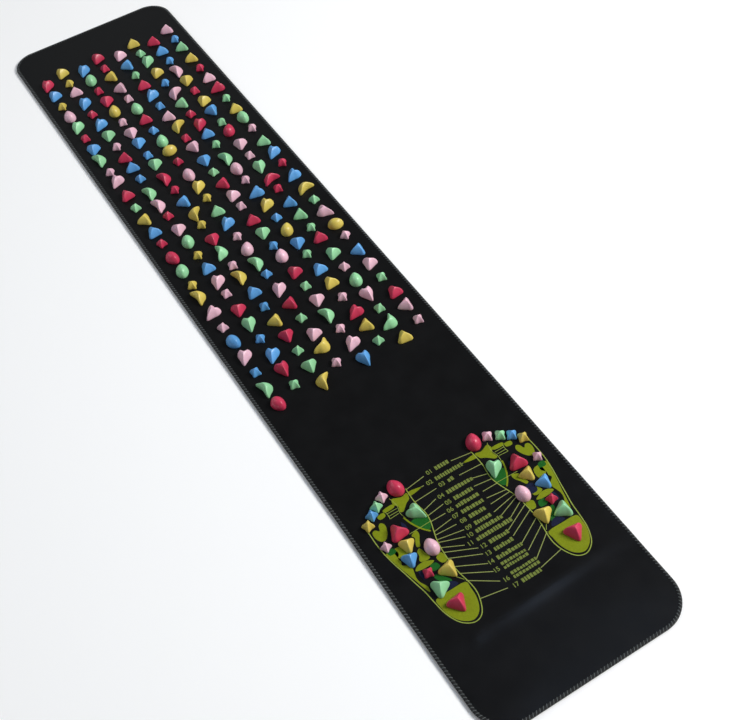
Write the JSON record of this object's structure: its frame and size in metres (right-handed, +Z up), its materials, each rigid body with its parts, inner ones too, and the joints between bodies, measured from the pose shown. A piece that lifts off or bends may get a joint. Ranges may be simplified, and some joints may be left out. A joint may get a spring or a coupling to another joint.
{
  "type": "acupressure mat",
  "caption": "Long soft floor mat with rows of small coloured plastic massage stones and a printed left and right foot with stones on their reflex zones.",
  "frame": {"origin": "middle of the underside", "axes": "+Z up, +Y along the mat from the printed feet to the far end of the stone field, +X to the right of someone who stands on the printed feet and looks along +Y"},
  "size_m": [0.35, 1.75, 0.0233],
  "materials": {
    "cover": "matt black synthetic leather",
    "foam": "soft closed-cell foam",
    "base": "matt anti-slip sheet",
    "thread": "spun thread, black with grey-green",
    "chart_print": "screen-printed ink",
    "stone_rose": "satin moulded",
    "stone_pink": "satin moulded",
    "stone_yellow": "satin moulded",
    "stone_green": "satin moulded",
    "stone_blue": "satin moulded",
    "stones_mixed": "satin moulded in five colours"
  },
  "bodies": {
    "root": {"anti_slip_base": "base", "foam_core": "foam", "top_cover": "cover", "edge_overlock": "thread", "left_foot_print": "chart_print", "left_big_toe_stone": "stone_rose", "left_second_toe_stone": "stone_pink", "left_third_toe_stone": "stone_green", "left_fourth_toe_stone": "stone_blue", "left_little_toe_stone": "stone_yellow", "left_inner_ball_stone": "stone_green", "left_middle_ball_stone": "stone_rose", "left_outer_ball_stone": "stone_pink", "left_upper_midfoot_stone": "stone_yellow", "left_lower_midfoot_stone": "stone_blue", "left_inner_arch_stone": "stone_pink", "left_small_arch_stone": "stone_rose", "left_inner_midfoot_stone": "stone_yellow", "left_outer_midfoot_stone": "stone_green", "left_heel_stone": "stone_rose", "right_foot_print": "chart_print", "right_big_toe_stone": "stone_rose", "right_second_toe_stone": "stone_pink", "right_third_toe_stone": "stone_green", "right_fourth_toe_stone": "stone_blue", "right_little_toe_stone": "stone_yellow", "right_inner_ball_stone": "stone_green", "right_middle_ball_stone": "stone_rose", "right_outer_ball_stone": "stone_pink", "right_upper_midfoot_stone": "stone_yellow", "right_lower_midfoot_stone": "stone_blue", "right_inner_arch_stone": "stone_pink", "right_small_arch_stone": "stone_rose", "right_inner_midfoot_stone": "stone_yellow", "right_outer_midfoot_stone": "stone_green", "right_heel_stone": "stone_rose", "stone_strip_1_far": "stones_mixed", "stone_strip_1_middle": "stones_mixed", "stone_strip_1_near": "stones_mixed", "stone_strip_2_far": "stones_mixed", "stone_strip_2_middle": "stones_mixed", "stone_strip_2_near": "stones_mixed", "stone_strip_3_far": "stones_mixed", "stone_strip_3_middle": "stones_mixed", "stone_strip_3_near": "stones_mixed", "stone_strip_4_far": "stones_mixed", "stone_strip_4_middle": "stones_mixed", "stone_strip_4_near": "stones_mixed", "stone_strip_5_far": "stones_mixed", "stone_strip_5_middle": "stones_mixed", "stone_strip_5_near": "stones_mixed", "stone_strip_6_far": "stones_mixed", "stone_strip_6_middle": "stones_mixed", "stone_strip_6_near": "stones_mixed", "stone_strip_7_far": "stones_mixed", "stone_strip_7_middle": "stones_mixed", "stone_strip_7_near": "stones_mixed", "stone_strip_8_far": "stones_mixed", "stone_strip_8_middle": "stones_mixed", "stone_strip_8_near": "stones_mixed"}
  },
  "joints": []
}
